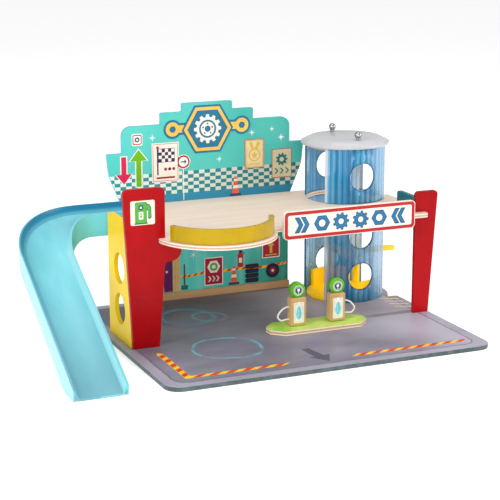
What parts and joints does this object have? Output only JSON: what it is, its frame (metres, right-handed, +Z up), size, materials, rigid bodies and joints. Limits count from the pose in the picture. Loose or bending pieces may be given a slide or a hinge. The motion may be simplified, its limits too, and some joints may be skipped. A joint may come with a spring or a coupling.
{
  "type": "wooden toy garage",
  "caption": "Wooden toy garage with a back board, upper deck, sliding lift in a round tube, moulded exit ramp and pump island.",
  "frame": {"origin": "centre of the base board's underside, taken over its full width and depth", "axes": "+X to the right along the front edge, +Y to the back, +Z up"},
  "size_m": [0.5166, 0.338, 0.257],
  "materials": {
    "base_grey": "printed and varnished board",
    "red_paint": "satin paint on board",
    "yellow_paint": "satin paint on board",
    "teal_paint": "printed and varnished board",
    "cream_paint": "printed and varnished board",
    "plywood": "clear varnish",
    "pump_wood": "oiled",
    "green_paint": "satin paint",
    "blue_plastic": "translucent, fluted",
    "yellow_plastic": "moulded",
    "ramp_blue": "moulded, fine satin",
    "cap_grey": "moulded, satin",
    "steel": "polished",
    "white_cord": "braided cord"
  },
  "bodies": {
    "garage": {"base_board": "base_grey", "left_post": "red_paint", "right_post": "red_paint", "side_panel": "yellow_paint", "back_board": "teal_paint", "back_rail": "plywood", "upper_deck": "plywood", "deck_guard": "yellow_paint", "right_guard": "teal_paint", "sign_board": "cream_paint", "shell_lower_front": "blue_plastic", "shell_lower_back": "blue_plastic", "shell_upper_front": "blue_plastic", "shell_upper_back": "blue_plastic", "lift_cap": "cap_grey", "guide_rod_front": "steel", "guide_rod_back": "steel", "rod_knob_front": "steel", "rod_knob_back": "steel", "ramp": "ramp_blue", "pump_island": "plywood", "pump_body_left": "pump_wood", "pump_body_right": "pump_wood", "pump_head_left": "green_paint", "pump_head_right": "green_paint", "pump_hose_left": "white_cord", "pump_hose_right": "white_cord"},
    "lift": {"lift_car": "yellow_plastic"}
  },
  "joints": [
    {"name": "lift_slide", "type": "slide", "parent": "garage", "child": "lift", "axis": [0, 0, 1], "range_m": [0, 0.1237]}
  ]
}
